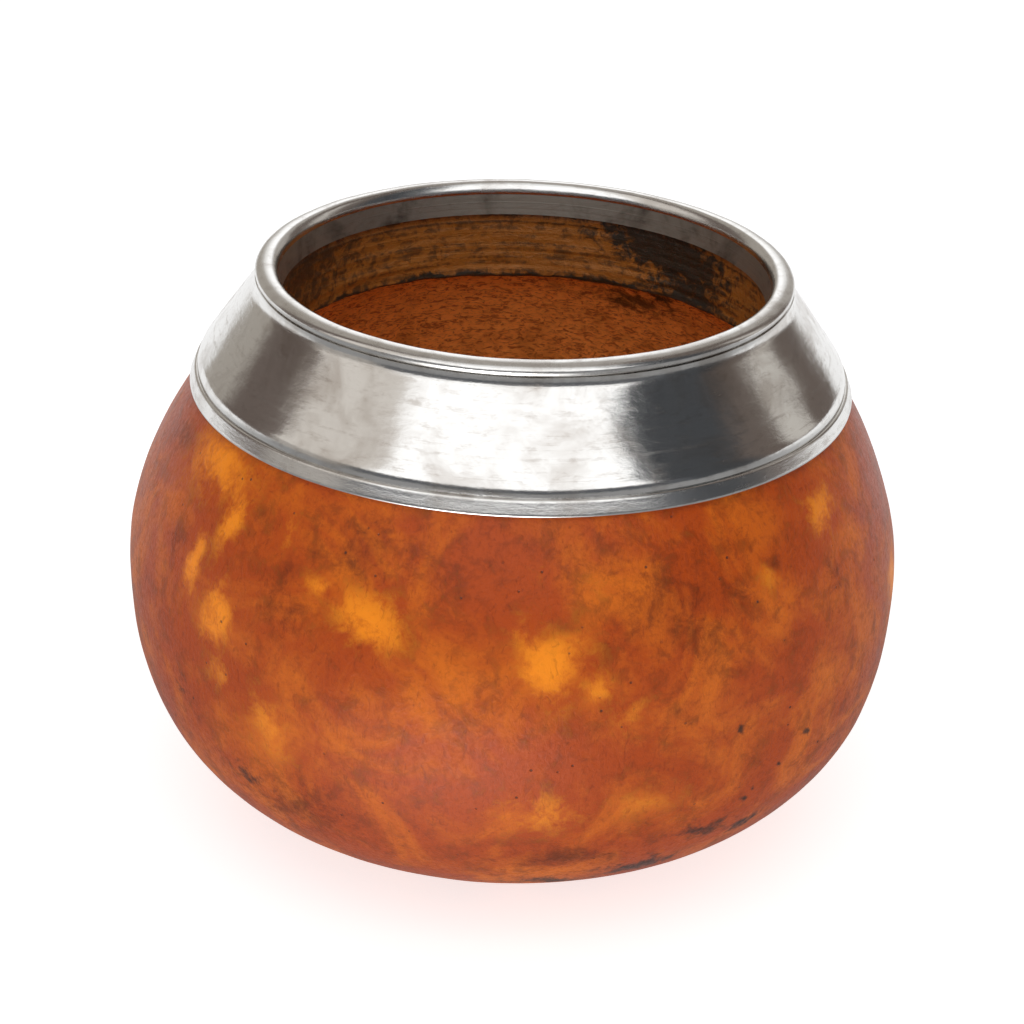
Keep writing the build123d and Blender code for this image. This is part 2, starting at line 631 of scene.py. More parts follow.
@dataclass(frozen=True)
class WaxedRind:
    """Waxed outer skin: red-brown ground, amber and umber stains, fine fibres and pits."""

    deep: str = "6d2604"
    ground: str = "a94208"
    warm: str = "cd660c"
    amber: str = "f58d13"
    umber: str = "4d1906"
    smoke: str = "2d231e"
    roughness: float = 0.38
    shine: float = 0.26
    cloud_mm: float = 11.0
    mottle_mm: float = 3.0
    grain_mm: float = 0.6
    fibre_mm: float = 0.9
    pit_gap_mm: float = 1.9
    grain_depth: float = 0.035
    mottle_depth: float = 0.10
    pit_depth: float = 0.12

    def material(self) -> bpy.types.Material:
        """Build the skin's material.

        Returns:
            A material that reads the stain attributes of the mesh.
        """
        s = Sheet("waxed rind")
        broad = s.cloud(self.cloud_mm, 6, 0.62, 0.7)
        middle = s.cloud(self.mottle_mm, 6, 0.68, 0.4)
        fine = s.cloud(self.grain_mm, 4, 0.7)
        fibres = s.cloud(self.fibre_mm, 3, 0.6, 1.5, (1, 1, 0.45))
        colour = s.tint(s.step(broad, 0.4, 0.72), linear(self.ground), linear(self.warm))
        colour = s.tint(s.step(middle, 0.45, 0.75, 0, 0.7), colour, linear(self.deep))
        colour = s.tint(s.step(fine, 0.45, 0.8, 0, 0.35), colour, linear(self.deep))
        ragged = s.sum(s.step(middle, 0.3, 0.7, -0.26, 0.26), s.step(fine, 0.3, 0.7, -0.1, 0.1))
        amber = s.step(s.sum(s.stain(Stain.AMBER), ragged), 0.1, 1.05, 0, 0.95)
        colour = s.tint(amber, colour, linear(self.amber))
        umber = s.step(s.sum(s.stain(Stain.UMBER), ragged), 0.0, 1.3, 0, 0.75)
        colour = s.tint(umber, colour, linear(self.umber))
        smoke = s.step(s.sum(s.stain(Stain.SMOKE), ragged), 0.25, 0.9, 0, 0.85)
        colour = s.tint(smoke, colour, linear(self.smoke))
        colour = s.tint(s.step(fibres, 0.55, 0.75, 0, 0.3), colour, linear(self.deep), "MULTIPLY")
        specks = s.step(s.pits(self.pit_gap_mm), 0.05, 0.11, 0.75, 0)
        sparse = s.sum(specks, s.step(s.cloud(5, 2), 0.5, 0.62), "MULTIPLY")
        colour = s.tint(sparse, colour, linear(self.smoke))
        s.feed(s.shader.inputs["Base Color"], colour)
        rough = s.sum(self.roughness, s.step(fine, 0.3, 0.7, -0.05, 0.09))
        rough = s.sum(rough, s.step(broad, 0.3, 0.7, -0.04, 0.05))
        s.feed(s.shader.inputs["Roughness"], rough)
        height = s.sum(s.step(fibres, 0.3, 0.8, 1, 0.4), s.step(fine, 0.2, 0.8, 0, 0.5))
        normal = s.relief(height, self.grain_depth)
        normal = s.relief(middle, self.mottle_depth, normal)
        normal = s.relief(s.sum(1.0, sparse, "SUBTRACT"), self.pit_depth, normal)
        s.feed(s.shader.inputs["Normal"], normal)
        s.shader.inputs["Specular IOR Level"].default_value = self.shine
        return s.material


@dataclass(frozen=True)
class ScrapedPith:
    """Scraped and tea-stained inside of the gourd, ringed by the scraper on the neck wall, with a
    painted shadow line under the ledge and painted shade over the left side of the neck wall.
    """

    wall: str = "995d1f"
    wall_dark: str = "43290f"
    hollow: str = "ffa852"
    hollow_dark: str = "843f1a"
    mould_and_shadow: str = "1a160e"
    roughness: float = 0.55
    ring_mm: float = 0.55
    drift_mm: float = 6.0
    scrape_mm: float = 1.4
    fibre_mm: float = 1.2
    ring_depth: float = 0.12
    fibre_depth: float = 0.15

    def material(self) -> bpy.types.Material:
        """Build the lining's material.

        Returns:
            A material that reads the neck, umber and smoke attributes of the mesh.
        """
        s = Sheet("scraped pith")
        rings = s.cloud(self.ring_mm, 4, 0.6, 0.3, (0.1, 0.1, 1.0), s.radial())
        drift = s.cloud(self.drift_mm, 4, 0.6, 0.4)
        broken = s.cloud(self.scrape_mm, 4, 0.65, 0.6)
        fibres = s.cloud(self.fibre_mm, 4, 0.65, 1.2, (1, 1, 2.2))
        stripes = s.sum(rings, s.step(broken, 0.3, 0.7, -0.16, 0.16))
        wall = s.tint(s.step(stripes, 0.38, 0.72, 0, 0.85), linear(self.wall), linear(self.wall_dark))
        strands = s.step(fibres, 0.44, 0.66, 0, 0.85)
        hollow = s.tint(strands, linear(self.hollow), linear(self.hollow_dark))
        hollow = s.tint(s.step(drift, 0.45, 0.7, 0, 0.45), hollow, linear(self.wall))
        colour = s.tint(s.attribute("neck"), hollow, wall)
        ragged = s.step(broken, 0.3, 0.7, -0.25, 0.25)
        # Umber here is partly real staining and partly painted shade over the left side of the neck
        # wall.
        umber = s.step(s.sum(s.stain(Stain.UMBER), ragged), 0.25, 0.9, 0, 0.9)
        colour = s.tint(umber, colour, linear(self.wall_dark))
        # Smoke here is partly real mould and partly a painted shadow line all round under the ledge.
        smoke = s.step(s.sum(s.stain(Stain.SMOKE), ragged), 0.3, 0.8, 0, 0.95)
        colour = s.tint(smoke, colour, linear(self.mould_and_shadow))
        s.feed(s.shader.inputs["Base Color"], colour)
        rough = s.sum(self.roughness, s.step(broken, 0.3, 0.7, -0.12, 0.12))
        s.feed(s.shader.inputs["Roughness"], rough)
        normal = s.relief(stripes, self.ring_depth)
        normal = s.relief(fibres, self.fibre_depth, normal)
        s.feed(s.shader.inputs["Normal"], normal)
        return s.material


@dataclass(frozen=True)
class PolishedMetal:
    """Polished white metal with fine turning lines, hand rubbing and a little tarnish."""

    name: str = "collar metal"
    clean: str = "e6e5e3"
    dull: str = "a79c92"
    roughness: float = 0.13
    line_mm: float = 0.32
    line_depth: float = 0.006
    film_mm: float = 9.0
    rub_mm: float = 1.2
    rub_depth: float = 0.02
    tarnish: float = 0.5
    metallic: float = 1.0

    def material(self) -> bpy.types.Material:
        """Build the metal.

        Returns:
            A metallic material.
        """
        s = Sheet(self.name)
        lines = s.cloud(self.line_mm, 5, 0.7, 0.0, (0.02, 0.02, 1.0), s.radial())
        broad = s.cloud(self.film_mm, 4, 0.6, 0.5)
        rub = s.cloud(self.rub_mm, 5, 0.7, 0.3, (0.5, 0.5, 1.6))
        marks = s.step(s.sum(lines, s.step(rub, 0.3, 0.7, -0.12, 0.12)), 0.52, 0.75)
        film = s.sum(s.step(broad, 0.45, 0.7, 0, self.tarnish), s.step(rub, 0.5, 0.75, 0, 0.25))
        colour = s.tint(film, linear(self.clean), linear(self.dull))
        colour = s.tint(s.sum(marks, 0.25, "MULTIPLY"), colour, linear(self.dull))
        s.feed(s.shader.inputs["Base Color"], colour)
        s.shader.inputs["Metallic"].default_value = self.metallic
        rough = s.sum(self.roughness, s.step(broad, 0.35, 0.7, -0.02, 0.07))
        rough = s.sum(rough, s.sum(marks, 0.10, "MULTIPLY"))
        s.feed(s.shader.inputs["Roughness"], rough)
        normal = s.relief(lines, self.line_depth)
        normal = s.relief(rub, self.rub_depth, normal)
        s.feed(s.shader.inputs["Normal"], normal)
        return s.material


WORN_METAL = PolishedMetal("lip metal", roughness=0.2, tarnish=0.35, line_depth=0.01)
SLEEVE_METAL = PolishedMetal(
    "sleeve metal",
    clean="989389",
    dull="4d463e",
    roughness=0.42,
    metallic=0.8,
    line_depth=0.05,
    tarnish=0.9,
)


# --- the gourd ----------------------------------------------------------------------


@dataclass(frozen=True)
class Patch:
    """A soft oval patch on the gourd: a stain, or on the lining also painted shade."""

    stain: Stain
    turn: float
    height: float
    wide: float
    tall: float
    strength: float = 1.0
    lean: float = 0.0

    def share(self, turn: np.ndarray, z: np.ndarray, radius: np.ndarray) -> np.ndarray:
        """Strength of the stain at points of the gourd.

        Args:
            turn: Turns in degrees.
            z: Heights.
            radius: Radii, which turn degrees into lengths.

        Returns:
            Values from 0, outside, to the strength, in the middle.
        """
        across = np.radians(wrapped(turn, self.turn)) * radius
        up = z - self.height
        tilt = math.radians(self.lean)
        a = (across * math.cos(tilt) + up * math.sin(tilt)) / (self.wide / 2)
        b = (up * math.cos(tilt) - across * math.sin(tilt)) / (self.tall / 2)
        return self.strength * np.exp(-0.9 * (a * a + b * b))


def lay_stains_and_painted_shade(
    obj: bpy.types.Object,
    turning: Turning,
    patches: tuple[Patch, ...],
    warp: float,
) -> None:
    """Write each stain's strength to the mesh as attributes; on the lining these also carry painted
    shade.

    Args:
        obj: Mesh object that the turning built.
        turning: Its turning.
        patches: Stains, and painted shade, to lay down.
        warp: How far noise pushes the stains' edges about.
    """
    turn, r, z = turning.grids()
    radius = np.maximum(r, POLE_RADIUS)
    pushed_turn = turn + np.degrees(warp * wobble(turn, z, EDGE_LUMP, 3.0) / radius)
    pushed_z = z + warp * wobble(turn, z, EDGE_LUMP, 11.0)
    for stain in Stain:
        total = np.zeros_like(r)
        for patch in patches:
            if patch.stain is stain:
                total = np.maximum(total, patch.share(pushed_turn, pushed_z, radius))
        turning.save(obj, stain.value, total)


@dataclass
class Gourd:
    """The hollow gourd: a waxed skin outside and a scraped lining inside."""

    belly_r: float = GOURD.radius
    belly_z: float = 34.0
    foot_r: float = 11.0
    base_fullness: float = 2.55
    shoulder_fullness: float = 1.84
    shoulder_rise: float = 45.0
    side_wall: float = 4.6
    floor_wall: float = 5.5
    inner_rise: float = 43.0
    bore_r: float = SLEEVE.radius
    ledge_z: float = 59.0
    ledge_rise: float = 1.2
    hem_z: float = HEM.low
    seat_z: float = LIP.low
    neck_r: float = 30.6
    skin: float = 1.2
    belly_shift: float = -0.25
    around: int = 420

    def bowl(self, radius: float, floor: float) -> Bow:
        """Lower curve of the outside or of the hollow.

        Args:
            radius: Radius of the belly.
            floor: Height of the flat.

        Returns:
            The curve.
        """
        drop = self.belly_z - floor
        left = 1 - (self.foot_r / radius) ** self.base_fullness
        return Bow(radius, self.belly_z, drop / left ** (1 / self.base_fullness), self.base_fullness)

    def curve(self, inset: float, radius: float, floor: float, rise: float, top_z: float) -> np.ndarray:
        """Outline from the axis at the floor, round the belly and up to top_z.

        Args:
            inset: How far in from the true curve the outline runs.
            radius: Radius of the belly.
            floor: Height of the flat.
            rise: Rise of the upper curve.
            top_z: Height at which to stop.

        Returns:
            Rows of (radius, height).
        """
        low = self.bowl(radius, floor)
        high = Bow(radius, self.belly_z, rise, self.shoulder_fullness)
        flat = np.linspace(0, self.foot_r, 12)
        base_r = self.foot_r + (radius * 0.93 - self.foot_r) * np.linspace(0, 1, 80)
        base = np.column_stack([base_r, low.height_at(base_r, -1)])
        side_z = np.linspace(base[-1, 1], self.belly_z, 80)[1:]
        side = np.column_stack([low.radius_at(side_z), side_z])
        top = np.linspace(self.belly_z, top_z, 160)[1:]
        upper = np.column_stack([high.radius_at(top), top])
        floor_line = np.column_stack([flat, np.full_like(flat, floor)])[:-1]
        line = np.concatenate([floor_line, base, side, upper])
        if inset:
            slope = np.gradient(line, axis=0)
            slope /= np.hypot(slope[:, 0], slope[:, 1])[:, None]
            line = line + inset * np.column_stack([-slope[:, 1], slope[:, 0]])
            line[0] = (0.0, floor + inset)
        return line

    def belly_share(self, z: np.ndarray) -> np.ndarray:
        """How much of the belly's unevenness shows at heights z: none at the hem and the foot."""
        return smooth(self.hem_z, self.hem_z - 14, z) * smooth(-2, 9, z)

    def unevenness(self, turn: np.ndarray, r: np.ndarray, z: np.ndarray) -> Grids:
        """Natural lumps of the gourd, which die away at the collar and at the foot.

        Args:
            turn: Turns in degrees.
            r: Radii.
            z: Heights.

        Returns:
            Radii and heights of the uneven gourd, and its sideways shift.
        """
        share = self.belly_share(z)
        lumps = 0.16 * wobble(turn, z, 26.0, 5.0) + 0.05 * wobble(turn, z, 9.0, 8.0)
        swell = 0.3 * mound(turn, z, (-28, 14), (24, 9))
        dip = -0.25 * mound(turn, z, (-75, 20), (22, 10))
        outer = smooth(18, 34, r)
        return r + (lumps + swell + dip) * share * outer, z, self.belly_shift * share

    def skin_outline(self) -> np.ndarray:
        """Draw the skin: up the outside to the neck's top, and back down inside itself.

        Returns:
            The outline, from the axis and back to it.
        """
        outside = self.curve(0.0, self.belly_r, 0.0, self.shoulder_rise, self.hem_z)
        outside = resample(outside, 0.62)
        inside = self.curve(self.skin, self.belly_r, 0.0, self.shoulder_rise, self.hem_z - 1)
        back = resample(inside, 4.0)[::-1]
        neck_z = self.seat_z - 1.0
        neck = np.array([(self.neck_r + 0.35, neck_z), (self.neck_r - 0.1, neck_z)])
        return np.concatenate([outside, neck, back])

    def lining_outline(self) -> np.ndarray:
        """Draw the lining: up the hollow, under the ledge, up the neck wall, and back down outside.

        Returns:
            The outline, from the axis and back to it.
        """
        hollow_r = self.belly_r - self.side_wall
        hollow_top = self.ledge_z + self.ledge_rise
        hollow = self.curve(0.0, hollow_r, self.floor_wall, self.inner_rise, hollow_top)
        hollow = resample(hollow, 0.8)
        edge = (self.bore_r, self.ledge_z + 0.4)
        ledge = np.array([hollow[-1], (self.bore_r + 0.35, self.ledge_z + 0.05), edge])
        wall = np.array([edge, (self.bore_r, self.seat_z - 0.1)])
        inside = self.curve(self.skin + 0.05, self.belly_r, 0.0, self.shoulder_rise, self.hem_z - 1)
        back = resample(inside, 4.0)[::-1]
        top = np.array([[self.neck_r - 0.15, self.seat_z - 0.1]])
        ledge = resample(ledge, 0.4)[:-1]
        return np.concatenate([hollow[:-1], ledge, resample(wall, 0.25), top, back])

    def lining_relief(self, turn: np.ndarray, r: np.ndarray, z: np.ndarray) -> Grids:
        """Scraper's rings and nicks on the neck wall, and a wavering ledge.

        Args:
            turn: Turns in degrees.
            r: Radii.
            z: Heights.

        Returns:
            Radii and heights of the scraped lining, and its sideways shift.
        """
        on_wall = (np.abs(r - self.bore_r) < 0.6) & (z > self.ledge_z - 1) & (z < self.seat_z - 3)
        rings = 0.18 * wobble(turn * 0.15, z * 4.0, 5.0, 2.0) + 0.12 * wobble(turn, z, 2.2, 7.0)
        scraped = np.where(on_wall, np.clip(rings, -0.25, 0.4), 0.0)
        hollow = (z < self.ledge_z) & (z > self.floor_wall + 1) & ~on_wall
        rough = np.where(hollow, 0.09 * wobble(turn, z, 3.0, 9.0), 0.0)
        by_ledge = smooth(6.0, 0.0, np.abs(z - self.ledge_z))
        inner = (r < self.bore_r + 12) & (z > self.ledge_z - 6) & (z < self.seat_z - 1)
        waver = np.where(inner, 0.35 * wobble(turn, z * 0.0, 16.0, 4.0) * by_ledge, 0.0)
        return r + scraped + rough, z + waver, self.belly_shift * self.belly_share(z)

    def skin_patches(self) -> tuple[Patch, ...]:
        """Place the stains of the skin: the front ones listed one by one, the back ones by a seeded
        draw.

        Returns:
            All stains, with turns in degrees and lengths in millimetres.
        """
        amber, umber, smoke = Stain.AMBER, Stain.UMBER, Stain.SMOKE
        front = (
            Patch(amber, -58, 54.0, 15, 6, 0.85), Patch(amber, -49, 50.0, 4, 8, 0.8),
            Patch(amber, -54, 44.0, 3.4, 7, 0.9), Patch(amber, -36, 52.0, 3, 7, 0.5),
            Patch(amber, -46, 40.2, 6.5, 7, 0.95), Patch(amber, -29, 47.0, 3.4, 3.4, 0.7),
            Patch(amber, -20, 45.5, 8.0, 6.5, 0.95), Patch(amber, 6, 42.6, 7.6, 7.6, 1.15),
            Patch(amber, 13, 39.1, 3.6, 3.4, 0.7), Patch(amber, 18, 35.8, 4, 4, 0.45),
            Patch(amber, 12, 50.4, 3, 3, 0.4), Patch(amber, 4, 51.7, 3, 2.6, 0.4),
            Patch(amber, -35, 29.2, 8, 8, 0.6), Patch(amber, -44, 33.5, 5, 4.5, 0.45),
            Patch(amber, 5, 23.2, 9, 6, 0.5), Patch(amber, 20, 24.2, 9, 5, 0.4),
            Patch(amber, 56, 51.6, 6.5, 5.5, 0.6), Patch(amber, 41, 48.3, 3.4, 3, 0.5),
            Patch(umber, -72, 53.9, 8, 3, 0.9), Patch(umber, -43, 52.6, 3.4, 3, 0.6),
            Patch(umber, -35, 48.0, 3.6, 5.5, 0.7), Patch(umber, -24, 52.2, 8, 8, 0.75),
            Patch(umber, -33, 43.6, 3.4, 3.2, 0.6), Patch(umber, -60, 45.4, 3.4, 4, 0.5),
            Patch(umber, 7, 46.8, 4, 2.2, 0.7), Patch(umber, 24, 47.0, 22, 13, 0.55),
            Patch(umber, 34, 47.9, 4, 3.2, 0.6), Patch(umber, 43, 49.4, 2.6, 1.8, 0.9),
            Patch(umber, 55, 46.1, 4.5, 3, 0.6), Patch(umber, 69, 48.8, 6, 4, 0.5),
            Patch(umber, 9, 15.9, 16, 4.5, 0.8), Patch(umber, -31, 19.0, 18, 9, 0.6, 12),
            Patch(umber, -14, 51.0, 16, 9, 0.35), Patch(umber, 10, 53.5, 18, 6, 0.4),
            Patch(smoke, 40, 15.0, 7, 3.4, 0.85), Patch(smoke, 30, 17.5, 7, 4, 0.7),
            Patch(smoke, 7, 9.0, 12, 3.4, 0.85), Patch(smoke, 23, 11.5, 12, 3.4, 0.8),
            Patch(smoke, -40, 20.4, 6, 3, 0.6), Patch(smoke, -55, 28.2, 4.4, 3.4, 0.5),
        )
        dots = tuple(
            Patch(smoke, turn, height, 1.0, 0.9, 1.3)
            for turn, height in ((48, 26.9), (37, 20.2), (38, 21.8), (42, 24.7), (34, 31.9))
        )
        rng = np.random.default_rng(17)
        back = []
        for index in range(34):
            stain = (amber, umber, umber, amber, smoke)[index % 5]
            size = rng.uniform(4, 11)
            back.append(Patch(stain, rng.uniform(78, 282), rng.uniform(8, 54), size,
                              size * rng.uniform(0.6, 1.0), rng.uniform(0.45, 0.95)))
        return front + dots + tuple(back)

    def lining_patches(self) -> tuple[Patch, ...]:
        """Place the marks of the lining: a painted shadow line under the ledge, a mouldy stretch,
        painted shade over the left side, and a thin darker band round the back of the neck wall.

        Returns:
            All patches, painted shade among them, with turns in degrees and lengths in millimetres.
        """
        umber, smoke = Stain.UMBER, Stain.SMOKE
        # Painted shadow: dark smoke patches all round the ledge, where the neck wall's lower edge
        # overhangs the hollow.
        painted_shadow_z = self.ledge_z + 0.1
        ledge = tuple(Patch(smoke, turn, painted_shadow_z, 10, 1.3, 1.3) for turn in range(0, 360, 12))
        return ledge + (
            Patch(smoke, 142, 65.5, 24, 7.5, 1.1, 8), Patch(smoke, 136, 61.0, 16, 7, 0.9),
            Patch(umber, 155, 55.0, 16, 5, 0.8), Patch(smoke, 150, 57.0, 8, 3, 0.6),
            # Painted shade: a broad umber patch darkens the dim left side of the neck wall; beside it a
            # thin darker band runs round the back of the neck wall.
            Patch(umber, 250, 65.0, 30, 12, 0.9), Patch(umber, 180, 68.0, 60, 2.0, 0.7),
        )

    def build(self) -> list[bpy.types.Object]:
        """Make and dress the skin and the lining.

        Returns:
            Both objects.
        """
        skin = Turning("gourd_rind", self.skin_outline(), self.around, self.unevenness)
        rind = skin.build()
        lay_stains_and_painted_shade(rind, skin, self.skin_patches(), 1.6)
        rind.data.materials.append(WaxedRind().material())
        lining = Turning("gourd_pith", self.lining_outline(), self.around, self.lining_relief)
        pith = lining.build()
        _, r, z = lining.grids()
        on_neck = smooth(self.ledge_z - 0.6, self.ledge_z + 0.6, z) * (r < self.bore_r + 1)
        lining.save(pith, "neck", on_neck)
        lay_stains_and_painted_shade(pith, lining, self.lining_patches(), 0.5)
        pith.data.materials.append(ScrapedPith().material())
        return [rind, pith]


# --- the collar ---------------------------------------------------------------------


@dataclass
class Collar:
    """The spun metal collar: skirt, hem band, lip and sleeve, each a closed ring."""

    seat_z: float = LIP.low
    shoulder_r: float = LIP.radius
    lean: float = 35.2
    sweep_r: float = 2.5
    turn_r: float = 2.4
    cove: float = 0.15
    sheet: float = 0.8
    hem_low_z: float = HEM.low
    hem_top_z: float = HEM.high
    hem_low_r: float = 40.2
    hem_top_r: float = 39.65
    hem_edge: float = 0.3
    hem_lean: float = 15.0
    grip_r: float = 39.3
    bore_r: float = SLEEVE.radius
    lip_in_r: float = 29.5
    lip_out_r: float = LIP.radius
    lip_tall: float = 1.5
    lip_swell: float = 0.63
    lip_bore: float = 0.08
    lip_tuck: float = 0.45
    crest_r: float = 30.6
    sleeve_low_z: float = SLEEVE.low
    sleeve_draw: float = 0.4
    around: int = 480

    def skirt_outline(self) -> np.ndarray:
        """Draw the skirt, down its outer face and back up inside.

        Returns:
            The closed outline.
        """
        lean = math.radians(self.lean)
        top_r = self.shoulder_r + self.sweep_r * (1 - math.cos(lean))
        top_z = self.seat_z - self.sweep_r * math.sin(lean)
        cove_top = self.hem_top_z + self.cove
        low_z = cove_top + self.turn_r * math.sin(lean)
        low_r = top_r + (top_z - low_z) * math.tan(lean)
        foot_r = low_r + self.turn_r * (1 - math.cos(lean))
        sweep_at = (self.shoulder_r + self.sweep_r, self.seat_z)
        sweep = arc(sweep_at, self.sweep_r, 180, 180 + self.lean, 14)
        turn = arc((foot_r - self.turn_r, cove_top), self.turn_r, self.lean, 0, 16)
        hook = arc((foot_r, self.hem_top_z), self.cove, 90, 180, 6)
        skin_r = top_r - (self.seat_z - top_z) * math.tan(lean) - self.sheet / math.cos(lean)
        face = resample(np.concatenate([sweep, turn]), 0.2)
        skin_low_r = foot_r - self.cove - self.sheet / 2
        inner = resample(np.array([[skin_low_r, self.hem_top_z], [skin_r, self.seat_z]]), 1.2)
        top = np.array([[skin_r + 0.6, self.seat_z]])
        return np.concatenate([face, hook[1:], inner, top])

    def hem_outline(self) -> np.ndarray:
        """Draw the hem band with rounded outer edges.

        Returns:
            The closed outline.
        """
        e = self.hem_edge
        low = arc((self.hem_low_r - e - 0.05, self.hem_low_z + e), e, -90, self.hem_lean, 7)
        high = arc((self.hem_top_r - e - 0.02, self.hem_top_z - e), e, self.hem_lean, 90, 7)
        inner_top = self.hem_top_r - self.sheet - self.cove
        outer = resample(np.concatenate([low, high]), 0.12)
        ends = np.array([[inner_top, self.hem_top_z], [self.grip_r, self.hem_low_z]])
        return np.concatenate([outer, ends])

    def lip_outline(self) -> np.ndarray:
        """Draw the lip: tucked in underneath, round on both sides of its crest.

        Returns:
            The closed outline.
        """
        swell_z = self.seat_z + self.lip_swell
        bore_z = self.seat_z + self.lip_bore
        top_z = self.seat_z + self.lip_tall
        angles = np.radians(np.linspace(0, 90, 14))
        outer = np.column_stack([
            self.crest_r + (self.lip_out_r - self.crest_r) * np.cos(angles),
            swell_z + (top_z - swell_z) * np.sin(angles),
        ])
        inner = np.column_stack([
            self.crest_r - (self.crest_r - self.lip_in_r) * np.sin(angles),
            bore_z + (top_z - bore_z) * np.cos(angles),
        ])
        under = arc((self.lip_out_r - self.lip_tuck, swell_z), self.lip_tuck, -75, 0, 6)
        rise = (under[:, 1] - under[0, 1]) / (under[-1, 1] - under[0, 1])
        under[:, 1] = self.seat_z + rise * self.lip_swell
        round_side = resample(np.concatenate([under[:-1], outer, inner[1:]]), 0.13)
        return np.concatenate([round_side, [(self.lip_in_r, self.seat_z)]])

    def sleeve_outline(self) -> np.ndarray:
        """Draw the sleeve, drawn in a little at its foot.

        Returns:
            The closed outline.
        """
        face = np.array([
            (self.lip_in_r, self.seat_z),
            (self.lip_in_r - self.sleeve_draw, self.sleeve_low_z),
        ])
        top = [(self.bore_r, self.seat_z)]
        foot = [(self.bore_r, self.sleeve_low_z)]
        return np.concatenate([top, resample(face, 0.2), foot])

    def beaten(self, turn: np.ndarray, r: np.ndarray, z: np.ndarray) -> Grids:
        """Slight waves and shallow dents of the skirt.

        Args:
            turn: Turns in degrees.
            r: Radii.
            z: Heights.

        Returns:
            Radii, heights and no sideways shift.
        """
        low_free = smooth(self.hem_top_z, self.hem_top_z + 2.5, z)
        free = low_free * smooth(self.seat_z, self.seat_z - 2.0, z)
        waves = 0.05 * wobble(turn, z, 15.0, 6.0) + 0.02 * wobble(turn, z, 5.0, 1.0)
        dent = -0.16 * mound(turn, z, (58, 64.5), (5, 2.0))
        press = -0.10 * mound(turn, z, (24, 65.0), (7, 3.0))
        return r + (waves + dent + press) * free, z, np.zeros_like(r)

    def rolled(self, turn: np.ndarray, r: np.ndarray, z: np.ndarray) -> Grids:
        """Faint unevenness of a hand-finished ring.

        Args:
            turn: Turns in degrees.
            r: Radii.
            z: Heights.

        Returns:
            Radii, heights and no sideways shift.
        """
        upper = smooth(self.seat_z + 0.2, self.seat_z + 0.8, z)
        return r, z + 0.05 * wobble(turn, z * 0, 12.0, 2.0) * upper, np.zeros_like(r)

    def build(self) -> list[bpy.types.Object]:
        """Make and dress the four rings.

        Returns:
            Skirt, hem band, lip and sleeve.
        """
        bright = PolishedMetal().material()
        worn = WORN_METAL.material()
        inside = SLEEVE_METAL.material()
        skirt = Turning("collar_skirt_ring", self.skirt_outline(), self.around, self.beaten).build()
        hem = Turning("collar_hem_band", self.hem_outline(), self.around).build()
        lip = Turning("collar_lip_ring", self.lip_outline(), self.around, self.rolled).build()
        sleeve = Turning("collar_sleeve_band", self.sleeve_outline(), self.around).build()
        for piece, metal in ((skirt, bright), (hem, worn), (lip, worn), (sleeve, inside)):
            piece.data.materials.append(metal)
        return [skirt, hem, lip, sleeve]


# --- the studio ---------------------------------------------------------------------


@dataclass(frozen=True)
class Panel:
    """A soft-edged panel of light or shade, placed by direction as the cup sees it."""

    left: float
    right: float
    low: float
    high: float
    colour: str
    level: float
    blur: float = 4.0

    @property
    def value(self) -> tuple[float, float, float, float]:
        """Linear colour at the panel's level."""
        red, green, blue, alpha = linear(self.colour)
        return red * self.level, green * self.level, blue * self.level, alpha

    def share(self, g: Graph, turn: Socket, rise: Socket) -> Socket:
        """Where the panel stands in the room.

        Args:
            g: The room's node tree.
            turn: Direction's turn in degrees.
            rise: Direction's elevation in degrees.

        Returns:
            1 inside the panel, 0 outside, eased across its blur.
        """
        edge = self.blur / 2
        half = (self.right - self.left) / 2
        off = g.sum(turn, (self.left + self.right) / 2, "SUBTRACT")
        around = g.sum(g.sum(off, 180.0, "WRAP", -180.0), 0.0, "ABSOLUTE")
        across = g.step(around, half + edge, half - edge)
        above = g.step(rise, self.low - edge, self.low + edge)
        below = g.step(rise, self.high + edge, self.high - edge)
        return g.sum(across, g.sum(above, below, "MULTIPLY"), "MULTIPLY")


